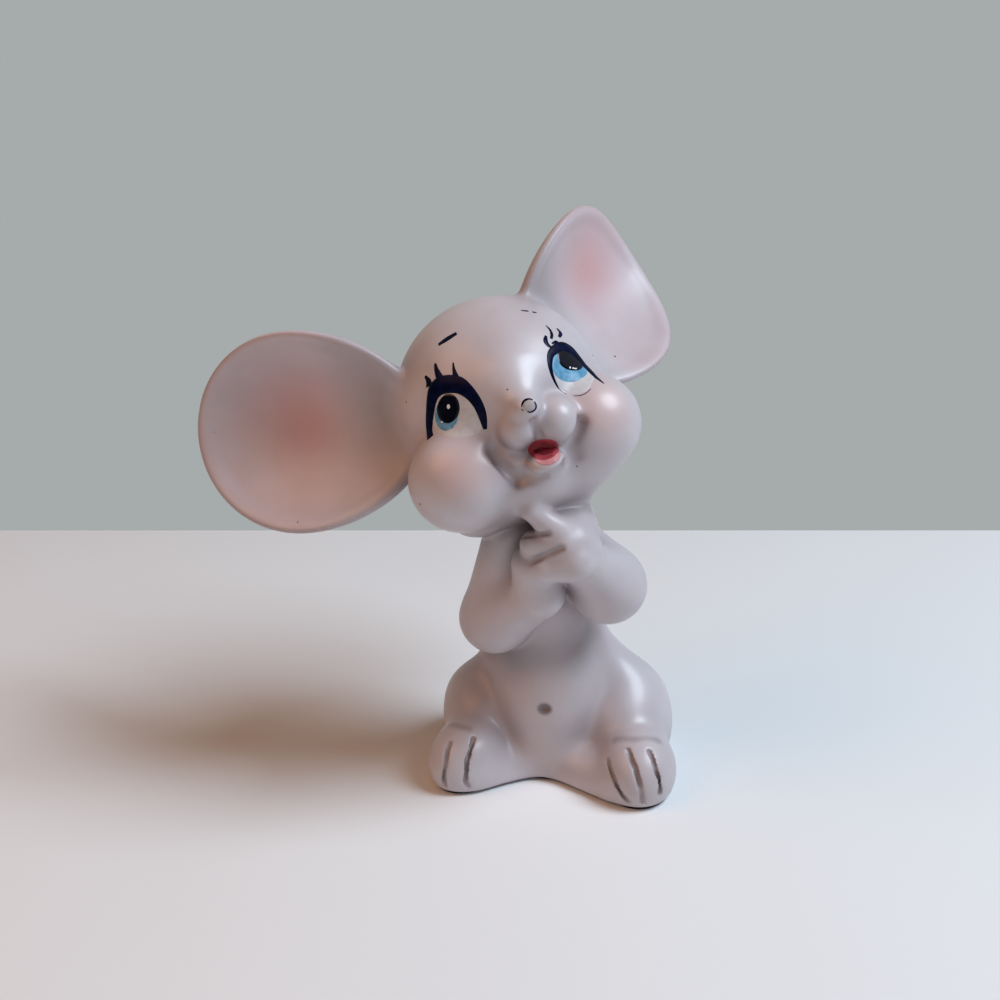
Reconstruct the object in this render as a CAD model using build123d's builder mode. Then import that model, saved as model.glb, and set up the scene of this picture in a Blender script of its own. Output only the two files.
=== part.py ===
from build123d import *
import math
import os

# A slip-cast ceramic mouse that sits up with its hands folded under its chin. Millimetres, +Z up.
# The origin is the middle of its foot, on the underside of the felt pad. The belly faces -Y, and left
# and right are the viewer's, so the left side is -X.

# Body casting
torso_radius = 10.0
torso_height = 51.3
body_wall = 3.0
vent_radius = 4.5
neck_bore_radius = 3.2

# Haunches and feet, whole widths, lengths and heights of the right side, with the left as shares of it
haunch_width = 14.8
haunch_length = 20.6
haunch_height = 20.4
foot_width = 12.6
foot_length = 16.4
foot_height = 12.6
toe_groove_width = 0.9
toe_groove_depth = 0.8
navel_radius = 1.1

# Head casting
head_radius = 16.0
head_wall = 3.0
cheek_radius = 8.1
jaw_radius = 7.2
flank_radius = 5.8
flank_end_radius = 4.4
throat_radius = 4.6
bridge_radius = 5.0
nose_tip_radius = 2.4
muzzle_radius = 3.2
nose_radius = 1.95
lip_radius = 3.2
mouth_width = 5.0
mouth_height = 3.8
mouth_depth = 3.6
cheek_crease = 2.5

# Ears, pressed and dished
left_ear_reach = 18.4
left_ear_half_height = 15.2
left_ear_curl = 5.6
right_ear_reach = 17.6
right_ear_half_height = 15.2
right_ear_curl = 2.0
ear_dish_depth = 7.0
ear_floor_depth = 6.0
ear_wall = 2.6

# Arms, pressed solid
shoulder_radius = 4.3
elbow_radius = 5.4
wrist_radius = 3.9
palm_radius = 4.2
finger_radius = 2.5
fingertip_radius = 2.0
crook_radius = 3.2

# Tail
tail_root_radius = 2.4
tail_tip_radius = 1.2

# Felt pad
felt_thickness = 0.5
felt_inset = 0.6

# Every cut runs past what it cuts by this much
overrun = 1.0

# Edges lower than this over the base count as the base's own
edge_tolerance = 0.1

# Places on the body as shares: x and y of the torso's radius, z of its height
haunch_crease_share = 0.5
torso_height_shares = (0, 0.14, 0.30, 0.46, 0.62, 0.78, 1)
torso_width_shares = (0.97, 1.07, 1.01, 0.90, 0.86, 0.78, 0.62)
torso_depth_shares = (0.98, 1.06, 0.98, 0.84, 0.78, 0.72, 0.60)
torso_side_shares = (0.06, 0.04, 0.0, -0.06, -0.14, -0.26, -0.46)
torso_back_shares = (0.08, 0.09, 0.11, 0.13, 0.11, 0.04, 0.0)
haunch_place_shares = {-1: (-1.06, 0.20, 0.102), 1: (1.28, 0.20, 0.110)}
haunch_size_shares = {-1: 0.88, 1: 1}
foot_place_shares = {-1: (-1.19, -0.86, 0.051), 1: (1.52, -0.90, 0.055)}
foot_size_shares = {-1: 0.96, 1: 1}
foot_splay_degrees = {-1: -22, 1: 8}
toe_groove_side_shares = {-1: (-0.18, 0.16), 1: (-0.24, 0.02, 0.28)}
toe_groove_back_share = 0.05
navel_place_shares = (0.05, -0.86, 0.270)
shoulder_place_shares = {-1: (-0.65, 0, 0.729), 1: (0.30, -0.05, 0.759)}
elbow_place_shares = {-1: (-0.80, -0.55, 0.510), 1: (0.96, -0.55, 0.637)}
crook_share = 0.7
tuck_share = 0.96
wrist_place_shares = {-1: (-0.05, -1.20, 0.655), 1: (0.56, -1.21, 0.769)}
palm_place_shares = {-1: (-0.10, -1.32, 0.755), 1: (0.43, -1.33, 0.824)}
finger_root_shares = ((0.29, -1.52, 0.875), (0.36, -1.56, 0.840), (0.40, -1.48, 0.791))
finger_end_shares = ((-0.04, -1.66, 0.943), (-0.09, -1.53, 0.836), (0.09, -1.44, 0.774))
belly_shares = (0.05, 0.15, 0.16)
cavity_ceiling_share = 0.80
bore_foot_shares = (-0.24, 0.05, 0.74)
bore_top_shares = (-0.46, 0, 1.04)
tail_route_shares = ((0.10, 0.90, 0.09), (0.45, 1.36, 0.07), (1.00, 1.38, 0.06), (1.42, 1.12, 0.09))

# Places on the head as shares of its radius, in the head's own frame: the face looks along -Y
head_side_share = -0.83
head_front_share = -0.11
head_rise_share = 0.925
neck_height_share = 0.9
cheek_place_shares = {-1: (-0.65, -0.51, -0.62), 1: (0.62, -0.52, -0.54)}
jaw_place_shares = (0, -0.50, -0.69)
flank_root_shares = (0.41, -0.44, -0.78)
flank_end_shares = (0.27, -0.24, -1.01)
throat_place_shares = (-0.56, 0.03, -0.91)
bridge_root_shares = (0, -0.68, -0.05)
nose_tip_shares = (0, -1.09, -0.225)
nose_place_shares = (0, -1.19, -0.225)
muzzle_place_shares = ((-0.12, -0.98, -0.44), (0.26, -0.97, -0.39))
lip_place_shares = (0.04, -0.92, -0.76)
mouth_place_shares = (0.08, -1.06, -0.625)
head_turn_degrees = 17.2
head_nod_degrees = -21.8
head_roll_degrees = -17

# Each ear stands out along a direction from the middle of the head, then turns about its own middle
ear_root_share = 1.134
ear_stand_shares = {-1: 0.81, 1: 0.56}
ear_back_degrees = {-1: 4.2, 1: 11.2}
ear_up_degrees = {-1: 10.3, 1: 23.0}
ear_yaw_degrees = {-1: 34, 1: 42}
ear_tilt_degrees = {-1: 18, 1: 19}
ear_roll_degrees = -3
ear_margin_share = 1.08
ear_rim_share = 0.47

# A ball's poles are turned to its front and back, so that its seam stays out of the blends at its sides
poles_along = (90, 0, 90)


def on_torso(shares):
    """The place on the body that three shares give."""
    across, deep, high = shares
    return Vector(across * torso_radius, deep * torso_radius, felt_thickness + high * torso_height)


def on_head(shares):
    """The place in the head's own frame that three shares give."""
    return Vector(*shares) * head_radius


def egg(width, length, height, poles=(0, 0, 0)):
    """A unit ball, its poles turned, stretched to a whole width, length and height."""
    ball = Sphere(1, rotation=poles, mode=Mode.PRIVATE)
    return scale(ball, by=(width / 2, length / 2, height / 2), mode=Mode.PRIVATE)


def limb(start, end, start_radius, end_radius):
    """A round limb between two balls, turned from its outline about the line through their middles."""
    run = end - start
    lean = math.degrees(math.asin((start_radius - end_radius) / run.length))
    across = Plane(origin=start, z_dir=run)
    with BuildPart() as turned:
        with BuildSketch(Plane(origin=start, x_dir=across.x_dir, z_dir=-across.y_dir)):
            with BuildLine():
                near = CenterArc((0, 0), start_radius, -90, 90 + lean)
                far = CenterArc((0, run.length), end_radius, lean, 90 - lean)
                Line(near @ 1, far @ 0)
                Line(far @ 1, near @ 0)
            make_face()
        revolve(axis=Axis(start, run))
    return turned.part


def creases(solid):
    """The edges above the base where one form of a solid runs into another."""
    faces = solid.faces()
    base = felt_thickness + edge_tolerance
    raised = [edge for edge in solid.edges() if edge.bounding_box().max.Z > base]
    return ShapeList(edge for edge in raised if sum(edge in face.edges() for face in faces) > 1)


# Body: a lofted torso, two haunches and two feet, blended and cut flat below
def torso_form(inset):
    """The lofted torso and neck, drawn in all round by an inset."""
    table = (
        torso_height_shares,
        torso_width_shares,
        torso_depth_shares,
        torso_side_shares,
        torso_back_shares,
    )
    with BuildPart() as form:
        for high, wide, deep, side, back in zip(*table):
            with BuildSketch(Plane(on_torso((side, back, high)))):
                Ellipse(wide * torso_radius - inset, deep * torso_radius - inset)
        loft()
    return form.part


def haunch_form(side, inset):
    """One haunch, drawn in all round by an inset."""
    size = haunch_size_shares[side]
    width = haunch_width * size - 2 * inset
    height = haunch_height * size - 2 * inset
    return Pos(*on_torso(haunch_place_shares[side])) * egg(width, haunch_length - 2 * inset, height)


def foot_form(side, inset):
    """One foot, drawn in all round by an inset."""
    size = foot_size_shares[side]
    width = foot_width * size - 2 * inset
    height = foot_height * size - 2 * inset
    seat = Pos(*on_torso(foot_place_shares[side])) * Rot(Z=foot_splay_degrees[side])
    return seat * egg(width, foot_length * size - 2 * inset, height)


def toe_grooves(side):
    """The grooves between the toes of one foot, as thin slabs less the foot within them."""
    size = foot_size_shares[side]
    seat = Pos(*on_torso(foot_place_shares[side])) * Rot(Z=foot_splay_degrees[side])
    with BuildPart() as slabs:
        for share in toe_groove_side_shares[side]:
            with Locations(seat * Pos(X=share * foot_width * size, Y=-toe_groove_back_share * foot_length)):
                Box(
                    toe_groove_width,
                    foot_length,
                    foot_height,
                    align=(Align.CENTER, Align.MAX, Align.CENTER),
                )
        add(foot_form(side, toe_groove_depth), mode=Mode.SUBTRACT)
    return slabs.part


def below(height):
    """A slab that clears everything under a height."""
    reach = torso_height
    slab = Box(reach * 2, reach * 2, reach, align=(Align.CENTER, Align.CENTER, Align.MAX), mode=Mode.PRIVATE)
    return Pos(Z=height) * slab


def above(height):
    """A slab that clears everything over a height."""
    reach = torso_height
    slab = Box(reach * 2, reach * 2, reach, align=(Align.CENTER, Align.CENTER, Align.MIN), mode=Mode.PRIVATE)
    return Pos(Z=height) * slab


def ground_share(middle, height):
    """The share of a stretched ball's width and length that is left where the ground cuts it."""
    rise = (middle.Z - felt_thickness) / (height / 2)
    return math.sqrt(1 - rise**2)


os.makedirs("parts", exist_ok=True)
sides = (-1, 1)
torso = torso_form(0)
haunches = [haunch_form(side, 0) for side in sides]
feet = [foot_form(side, 0) for side in sides]
grooves = [toe_grooves(side) for side in sides]
ground = below(felt_thickness)
with BuildPart() as body_form:
    add(torso)
    add(haunches)
    add(ground, mode=Mode.SUBTRACT)
    fillet(creases(body_form.part), torso_radius * haunch_crease_share)
    add(feet)
    add(ground, mode=Mode.SUBTRACT)
    add(grooves, mode=Mode.SUBTRACT)
    with Locations(on_torso(navel_place_shares)):
        Sphere(navel_radius, mode=Mode.SUBTRACT)

# Head: a ball with two cheeks, a jaw and a throat, then the muzzle, the nose and the open mouth
neck_top = felt_thickness + torso_height * neck_height_share
head_middle = Vector(
    head_side_share * torso_radius,
    head_front_share * torso_radius,
    neck_top + head_rise_share * head_radius,
)
head_seat = Pos(head_middle) * Rot(Z=head_turn_degrees) * Rot(X=head_nod_degrees) * Rot(Y=head_roll_degrees)
flank_root = on_head(flank_root_shares)
flank_end = on_head(flank_end_shares)
flank = head_seat * limb(flank_root, flank_end, flank_radius, flank_end_radius)
bridge_root = on_head(bridge_root_shares)
nose_tip = on_head(nose_tip_shares)
bridge = head_seat * limb(bridge_root, nose_tip, bridge_radius, nose_tip_radius)
mouth_seat = head_seat * Pos(on_head(mouth_place_shares))
mouth = mouth_seat * egg(mouth_width, mouth_depth * 2, mouth_height, poles_along)
with BuildPart() as head_form:
    with Locations(head_seat):
        Sphere(head_radius, rotation=poles_along)
    for side in sides:
        with Locations(head_seat * Pos(on_head(cheek_place_shares[side]))):
            Sphere(cheek_radius, rotation=poles_along)
    with Locations(head_seat * Pos(on_head(jaw_place_shares))):
        Sphere(jaw_radius, rotation=poles_along)
    add(flank)
    fillet(creases(head_form.part), cheek_crease)
    add(bridge)
    with Locations(head_seat * Pos(on_head(throat_place_shares))):
        Sphere(throat_radius, rotation=poles_along)
    with Locations(head_seat * Pos(on_head(nose_place_shares))):
        Sphere(nose_radius, rotation=poles_along)
    with Locations(head_seat * Pos(on_head(lip_place_shares))):
        Sphere(lip_radius, rotation=poles_along)
    for shares in muzzle_place_shares:
        with Locations(head_seat * Pos(on_head(shares))):
            Sphere(muzzle_radius, rotation=poles_along)
    add(mouth, mode=Mode.SUBTRACT)


def ear_form(side, reach, half_height, curl):
    """A dished ear: a curved sheet cut to a half-egg outline, with a round bead along its rim."""
    stand = head_radius + ear_stand_shares[side] * reach
    back = math.radians(ear_back_degrees[side])
    rise = math.radians(ear_up_degrees[side])
    level = math.cos(rise)
    way = Vector(side * level * math.cos(back), level * math.sin(back), math.sin(rise))
    yaw = Rot(Z=side * ear_yaw_degrees[side])
    tilt = Rot(Y=-side * ear_tilt_degrees[side])
    seat = head_seat * Pos(way * stand) * yaw * tilt * Rot(X=ear_roll_degrees)
    ear = Plane(seat * Plane(origin=(0, 0, 0), x_dir=(side, 0, 0), z_dir=(0, -1, 0)).location)
    root = reach * ear_root_share
    root_edge = root * ear_margin_share
    long_radius = (reach**2 + curl**2) / (2 * curl)
    round_radius = (half_height**2 + ear_dish_depth**2) / (2 * ear_dish_depth)
    swing = math.degrees(math.asin(reach / long_radius)) * ear_margin_share
    half_wall = ear_wall / 2
    floor = ear.offset(-ear_floor_depth)
    with BuildPart() as form:
        with BuildSketch(Plane(origin=floor.origin, x_dir=ear.x_dir, z_dir=-ear.y_dir)):
            with BuildLine():
                outer = CenterArc((0, long_radius), long_radius + half_wall, -90, swing)
                inner = CenterArc((0, long_radius), long_radius - half_wall, -90, swing)
                Line(outer @ 1, inner @ 1)
                Polyline(inner @ 0, (-root_edge, half_wall), (-root_edge, -half_wall), outer @ 0)
            make_face()
        revolve(axis=Axis(floor.origin + ear.z_dir * round_radius, ear.x_dir))
        with BuildSketch(floor.offset(-ear_wall)):
            with Locations(((reach - root) / 2, 0)):
                Ellipse((reach + root) / 2, half_height)
        extrude(amount=ear_dish_depth + 2 * ear_wall, mode=Mode.INTERSECT)
        fillet(creases(form.part).filter_by(GeomType.BSPLINE), ear_wall * ear_rim_share)
    return form.part


left_ear_form = ear_form(-1, left_ear_reach, left_ear_half_height, left_ear_curl)
right_ear_form = ear_form(1, right_ear_reach, right_ear_half_height, right_ear_curl)


def arm_form(side):
    """An arm folded at the elbow, with its crook filled out and its palm."""
    shoulder = on_torso(shoulder_place_shares[side])
    elbow = on_torso(elbow_place_shares[side])
    wrist = on_torso(wrist_place_shares[side])
    palm = on_torso(palm_place_shares[side])
    upper = limb(shoulder, elbow, shoulder_radius, elbow_radius)
    fore = limb(elbow, wrist, elbow_radius * tuck_share, wrist_radius)
    hand = limb(wrist, palm, wrist_radius * tuck_share, palm_radius)
    crook_start = elbow + (shoulder - elbow) * crook_share
    crook_end = elbow + (wrist - elbow) * crook_share
    crook = limb(crook_start, crook_end, crook_radius, crook_radius)
    with BuildPart() as form:
        add(upper)
        add(fore)
        add(crook)
        add(hand)
    return form.part


def fingers_form():
    """The fingers of the front hand, with the first one raised."""
    roots = [on_torso(shares) for shares in finger_root_shares]
    ends = [on_torso(shares) for shares in finger_end_shares]
    digits = [limb(root, end, finger_radius, fingertip_radius) for root, end in zip(roots, ends)]
    with BuildPart() as form:
        for digit in digits:
            add(digit)
    return form.part


left_arm_form = arm_form(-1)
right_arm_form = arm_form(1)
fingers = fingers_form()

# Tail: round sections along a curve that lies against the back
tail_places = [on_torso(shares) for shares in tail_route_shares]
with BuildPart() as tail_form:
    with BuildLine():
        tail_route = Spline(tail_places)
    for place in (0, 1):
        with BuildSketch(Plane(origin=tail_route @ place, z_dir=tail_route % place)):
            Circle(tail_root_radius + place * (tail_tip_radius - tail_root_radius))
    sweep(path=tail_route, multisection=True)
    with Locations(tail_route @ 1):
        Sphere(tail_tip_radius)

# Pieces: every seat is cut by the piece it is luted to, so the two faces meet exactly
belly = on_torso(belly_shares)
torso_cavity = torso_form(body_wall)
haunch_cavities = []
for side in sides:
    cavity_radius = haunch_width * haunch_size_shares[side] / 2 - body_wall
    haunch_cavities.append(limb(belly, on_torso(haunch_place_shares[side]), cavity_radius, cavity_radius))
neck_bore = limb(on_torso(bore_foot_shares), on_torso(bore_top_shares), neck_bore_radius, neck_bore_radius)
cavity_floor = below(felt_thickness + body_wall)
cavity_ceiling = above(on_torso((0, 0, cavity_ceiling_share)).Z)
with BuildPart() as hollow:
    add(torso_cavity)
    add(haunch_cavities)
    add(cavity_floor, mode=Mode.SUBTRACT)
    add(cavity_ceiling, mode=Mode.SUBTRACT)
    add(neck_bore)
    with Locations((0, 0, felt_thickness)):
        Cylinder(vent_radius, body_wall * 2 + overrun)

with BuildPart() as body_shell:
    add(body_form.part)
    add(hollow.part, mode=Mode.SUBTRACT)
body_shell.part.label = "body_shell"
export_step(body_shell.part, "parts/body_shell.step")

with BuildPart() as head_shell:
    add(head_form.part)
    add(body_form.part, mode=Mode.SUBTRACT)
    with Locations(head_middle):
        Sphere(head_radius - head_wall, mode=Mode.SUBTRACT)
head_shell.part.label = "head_shell"
export_step(head_shell.part, "parts/head_shell.step")

with BuildPart() as left_ear:
    add(left_ear_form)
    add(head_form.part, mode=Mode.SUBTRACT)
left_ear.part.label = "left_ear"
export_step(left_ear.part, "parts/left_ear.step")

with BuildPart() as right_ear:
    add(right_ear_form)
    add(head_form.part, mode=Mode.SUBTRACT)
right_ear.part.label = "right_ear"
export_step(right_ear.part, "parts/right_ear.step")

with BuildPart() as right_arm:
    add(right_arm_form)
    add(fingers)
    add(body_form.part, mode=Mode.SUBTRACT)
    add(head_form.part, mode=Mode.SUBTRACT)
right_arm.part.label = "right_arm"
export_step(right_arm.part, "parts/right_arm.step")

with BuildPart() as left_arm:
    add(left_arm_form)
    add(body_form.part, mode=Mode.SUBTRACT)
    add(head_form.part, mode=Mode.SUBTRACT)
    add(right_arm_form, mode=Mode.SUBTRACT)
    add(fingers, mode=Mode.SUBTRACT)
left_arm.part.label = "left_arm"
export_step(left_arm.part, "parts/left_arm.step")

with BuildPart() as tail:
    add(tail_form.part)
    add(body_form.part, mode=Mode.SUBTRACT)
    add(ground, mode=Mode.SUBTRACT)
tail.part.label = "tail"
export_step(tail.part, "parts/tail.step")

# Felt pad: the outlines on the ground of all that stands there, drawn in a little
with BuildPart() as felt_pad:
    with BuildSketch(Plane.XY):
        with Locations(on_torso((torso_side_shares[0], torso_back_shares[0], 0))):
            Ellipse(
                torso_width_shares[0] * torso_radius - felt_inset,
                torso_depth_shares[0] * torso_radius - felt_inset,
            )
        for side in sides:
            size = haunch_size_shares[side]
            middle = on_torso(haunch_place_shares[side])
            cut = ground_share(middle, haunch_height * size)
            with Locations((middle.X, middle.Y)):
                Ellipse(haunch_width * size / 2 * cut - felt_inset, haunch_length / 2 * cut - felt_inset)
            size = foot_size_shares[side]
            middle = on_torso(foot_place_shares[side])
            cut = ground_share(middle, foot_height * size)
            with Locations(Location((middle.X, middle.Y, 0), (0, 0, foot_splay_degrees[side]))):
                Ellipse(foot_width * size / 2 * cut - felt_inset, foot_length * size / 2 * cut - felt_inset)
    extrude(amount=felt_thickness)
felt_pad.part.label = "felt_pad"
export_step(felt_pad.part, "parts/felt_pad.step")
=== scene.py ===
"""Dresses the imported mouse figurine: satin-glazed slip-cast clay, a face in enamel, and a felt pad.

The clay is worked as one skin of round forms that melt into each other, as wet slip smooths the joints of a
casting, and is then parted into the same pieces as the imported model. Lengths here are millimetres, and every
mesh is made in metres. The belly faces -Y, and left and right are the viewer's.
"""

import logging
import math
from dataclasses import dataclass, replace
from enum import Enum
from typing import Any, Callable, Optional, Sequence

import bpy
import numpy as np
from mathutils import Matrix, Vector


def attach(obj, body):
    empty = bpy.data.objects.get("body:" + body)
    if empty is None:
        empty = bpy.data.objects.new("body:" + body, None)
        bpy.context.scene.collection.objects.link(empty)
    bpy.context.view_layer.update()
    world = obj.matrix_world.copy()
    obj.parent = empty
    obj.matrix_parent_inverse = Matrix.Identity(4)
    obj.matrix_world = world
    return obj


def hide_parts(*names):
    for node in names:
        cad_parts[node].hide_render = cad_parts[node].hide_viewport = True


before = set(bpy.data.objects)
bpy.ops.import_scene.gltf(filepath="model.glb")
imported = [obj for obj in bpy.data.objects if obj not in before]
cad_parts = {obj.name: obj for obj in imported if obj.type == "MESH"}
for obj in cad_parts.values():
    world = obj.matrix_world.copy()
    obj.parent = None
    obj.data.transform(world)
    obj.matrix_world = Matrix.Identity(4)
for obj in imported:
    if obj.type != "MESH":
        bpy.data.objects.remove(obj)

LOG = logging.getLogger("mouse")
MM = 0.001
BODY = "root"
# What keeps a division or a root off zero, and what is farther than any piece
TINY, SMALL, FAR = 1e-9, 1e-6, 1e3
Points = np.ndarray
Distances = np.ndarray
Triple = tuple[float, float, float]
Pair = tuple[float, float]
Field = Callable[[Points], Distances]
Tree = bpy.types.NodeTree
Thing = bpy.types.Object


# Clay: round forms as signed distances, and how they melt together


def melt(first: Distances, second: Distances, reach: float) -> Distances:
    """Distances to two forms joined with a soft crease of the width of reach."""
    share = np.maximum(reach - np.abs(first - second), 0) / reach
    return np.minimum(first, second) - share**3 * (reach / 6)


def carve(form: Distances, tool: Distances, reach: float) -> Distances:
    """Distances to what a tool leaves of a form, with a softened edge of the width of reach."""
    return -melt(-form, tool, reach)


def turn(x: float = 0, y: float = 0, z: float = 0) -> np.ndarray:
    """The matrix of a turn about Y, then X, then Z, in degrees."""
    return np.array(
        Matrix.Rotation(math.radians(z), 3, "Z")
        @ Matrix.Rotation(math.radians(x), 3, "X")
        @ Matrix.Rotation(math.radians(y), 3, "Y"),
        np.float32,
    )


@dataclass(frozen=True)
class Ball:
    """A ball of clay, pressed to three radii and turned about the vertical."""

    middle: Triple
    radii: Triple
    spin: float = 0.0

    def distance(self, at: Points) -> Distances:
        """Distances to the ball, true near its skin.

        Args:
            at: the points.

        Returns:
            Their distances, below zero inside.
        """
        local = (at - np.float32(self.middle)) @ turn(z=self.spin)
        near = np.sqrt(np.sum((local / np.float32(self.radii)) ** 2, -1))
        slope = np.sqrt(np.sum((local / np.float32(self.radii) ** 2) ** 2, -1)) + TINY
        return near * (near - 1) / slope


@dataclass(frozen=True)
class Roll:
    """A roll of clay between two ends, each with its radius, that swells smoothly from one to the other."""

    start: Triple
    end: Triple
    start_radius: float
    end_radius: float

    def distance(self, at: Points) -> Distances:
        """Distances to the roll.

        Args:
            at: the points.

        Returns:
            Their distances, below zero inside.
        """
        start, run = np.float32(self.start), np.float32(self.end) - np.float32(self.start)
        share = np.clip((at - start) @ run / (run @ run), 0, 1)
        off = at - start - share[:, None] * run
        swell = share * share * (3 - 2 * share)
        radius = self.start_radius + (self.end_radius - self.start_radius) * swell
        return np.sqrt(np.sum(off**2, -1)) - radius


@dataclass(frozen=True)
class Scratch:
    """A line drawn in the clay with a round tool, through points on the skin."""

    route: tuple[Triple, ...]
    radius: float

    def distance(self, at: Points) -> Distances:
        """Distances from points to the tool's path."""
        runs = zip(self.route, self.route[1:])
        return np.minimum.reduce([Roll(a, b, self.radius, self.radius).distance(at) for a, b in runs])


Form = Ball | Roll | Scratch
# Forms, each with the width of the crease or of the softened edge where it meets the clay
Worked = tuple[tuple[Form, float], ...]


# Skin: a mesh where a field of distances is zero

CORNERS = np.array([(i, j, k) for i in (0, 1) for j in (0, 1) for k in (0, 1)])
# Cells along a side of the coarse blocks, and how many block sides from the surface a block is read finely
BLOCK = 4
BLOCK_MARGIN = 1.3
# How many times the net is pulled onto the surface
PULLS = 2


def sample(clay: Field, at: Points, batch: int = 200_000) -> Distances:
    """Reads a field at many points, a batch at a time."""
    runs = [clay(at[start : start + batch].astype(np.float32)) for start in range(0, len(at), batch)]
    return np.concatenate(runs) if runs else np.zeros(0, np.float32)


def slope(clay: Field, at: Points, reach: float = 0.08) -> np.ndarray:
    """The gradient of a field at points, from four readings round each.

    Args:
        clay: the field.
        at: the points.
        reach: how far from a point it is read.

    Returns:
        The gradients.
    """
    total = np.zeros((len(at), 3), np.float32)
    for way in ((1, 1, 1), (1, -1, -1), (-1, 1, -1), (-1, -1, 1)):
        away = np.float32(way)
        total += sample(clay, at + away * reach)[:, None] * away
    return total / (4 * reach)


def placed(name: str, data: Any) -> Thing:
    """A new object of the scene, round a mesh, a lamp or a camera.

    Args:
        name: the object's name.
        data: what it holds.

    Returns:
        The object, linked to the scene.
    """
    made = bpy.data.objects.new(name, data)
    bpy.context.scene.collection.objects.link(made)
    return made


@dataclass
class Skin:
    """The mesh of a field's zero surface, with the directions that face out of it."""

    points: Points
    faces: np.ndarray
    outwards: Points

    @classmethod
    def of(cls, clay: Field, low: Triple, high: Triple, step: float, shade: Field) -> "Skin":
        """Nets the zero surface of a field in a box, coarse first and then fine near the surface.

        Args:
            clay: the field.
            low: lowest corner of the box.
            high: highest corner of the box.
            step: grid spacing.
            shade: the field whose slope shades the skin.

        Returns:
            The skin.
        """
        base = np.array(low, float)
        count = np.ceil((np.array(high) - base) / (step * BLOCK)).astype(int) + 1
        axes = [base[i] + step * (BLOCK * np.arange(count[i]) + (BLOCK - 1) / 2) for i in range(3)]
        rough = sample(clay, np.stack(np.meshgrid(*axes, indexing="ij"), -1).reshape(-1, 3)).reshape(count)
        grid = rough.repeat(BLOCK, 0).repeat(BLOCK, 1).repeat(BLOCK, 2)
        near = np.argwhere(np.abs(grid) < step * BLOCK * BLOCK_MARGIN)
        grid[tuple(near.T)] = sample(clay, base + near * step)
        cells, places = cls.crossings(grid)
        points = base + step * places
        for _ in range(PULLS):
            along = slope(clay, points)
            move = -sample(clay, points)[:, None] * along / (np.sum(along**2, 1, keepdims=True) + SMALL)
            points = points + np.clip(move, -step / 2, step / 2)
        outwards = slope(shade, points)
        outwards /= np.linalg.norm(outwards, axis=1, keepdims=True) + TINY
        return cls(points, cls.quads(grid < 0, cells), outwards)

    @staticmethod
    def crossings(grid: np.ndarray) -> tuple[np.ndarray, np.ndarray]:
        """The cells that the surface runs through.

        Args:
            grid: the field's readings.

        Returns:
            The cells, and in each the middle of the places where the surface cuts its edges, in cells.
        """
        size = np.array(grid.shape) - 1
        inside = (grid < 0).astype(np.int8)
        filled = sum(inside[i : size[0] + i, j : size[1] + j, k : size[2] + k] for i, j, k in CORNERS)
        cells = np.argwhere((filled > 0) & (filled < 8))
        corner = grid[tuple((cells[:, None] + CORNERS).transpose(2, 0, 1))]
        total, hits = np.zeros((len(cells), 3)), np.zeros(len(cells))
        for first in range(8):
            for second in (first | bit for bit in (1, 2, 4) if not first & bit):
                a, b = corner[:, first], corner[:, second]
                crossed = (a < 0) != (b < 0)
                share = np.where(crossed, a / np.where(crossed, a - b, 1), 0)
                place = CORNERS[first] + share[:, None] * (CORNERS[second] - CORNERS[first])
                total += place * crossed[:, None]
                hits += crossed
        return cells, cells + total / hits[:, None]

    @staticmethod
    def quads(inside: np.ndarray, cells: np.ndarray) -> np.ndarray:
        """Joins the cells round every grid edge that the surface cuts.

        Args:
            inside: which readings of the grid are inside the clay.
            cells: the cells that the surface runs through, in the order of their points.

        Returns:
            Four points to a face, facing outward.
        """
        size = np.array(inside.shape) - 1
        number = np.full(size, -1, np.int32)
        number[tuple(cells.T)] = np.arange(len(cells))
        faces = []
        for axis in range(3):
            ahead, behind = [slice(None)] * 3, [slice(None)] * 3
            ahead[axis], behind[axis] = slice(1, None), slice(None, -1)
            edges = np.argwhere(inside[tuple(behind)] != inside[tuple(ahead)])
            u, v = np.eye(3, dtype=int)[(axis + 1) % 3], np.eye(3, dtype=int)[(axis + 2) % 3]
            edges = edges[np.all((edges - u - v >= 0) & (edges < size), 1)]
            ring = np.stack([number[tuple((edges - away).T)] for away in (u + v, v, 0 * u, u)], 1)
            outward = inside[tuple(edges.T)]
            faces.append(np.where(outward[:, None], ring, ring[:, ::-1]))
        return np.concatenate(faces)

    def thing(self, name: str, marks: dict[str, Distances]) -> Thing:
        """Makes the skin a Blender object.

        Args:
            name: the object's name.
            marks: a number at every point, by the attribute's name.

        Returns:
            The object, linked to the scene.
        """
        mesh = bpy.data.meshes.new(name)
        mesh.from_pydata(self.points * MM, [], self.faces.tolist())
        for mark, values in marks.items():
            mesh.attributes.new(mark, "FLOAT", "POINT").data.foreach_set("value", values.astype(np.float32))
        mesh.shade_smooth()
        mesh.normals_split_custom_set_from_vertices(self.outwards.tolist())
        return placed(name, mesh)


# Nodes and finishes


def linear(code: str) -> tuple[float, float, float, float]:
    """A linear colour with an alpha of 1, from an sRGB code of a hash and six hex digits."""
    parts = [int(code[i : i + 2], 16) / 255 for i in (1, 3, 5)]
    return tuple(p / 12.92 if p <= 0.04045 else ((p + 0.055) / 1.055) ** 2.4 for p in parts) + (1.0,)


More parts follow.
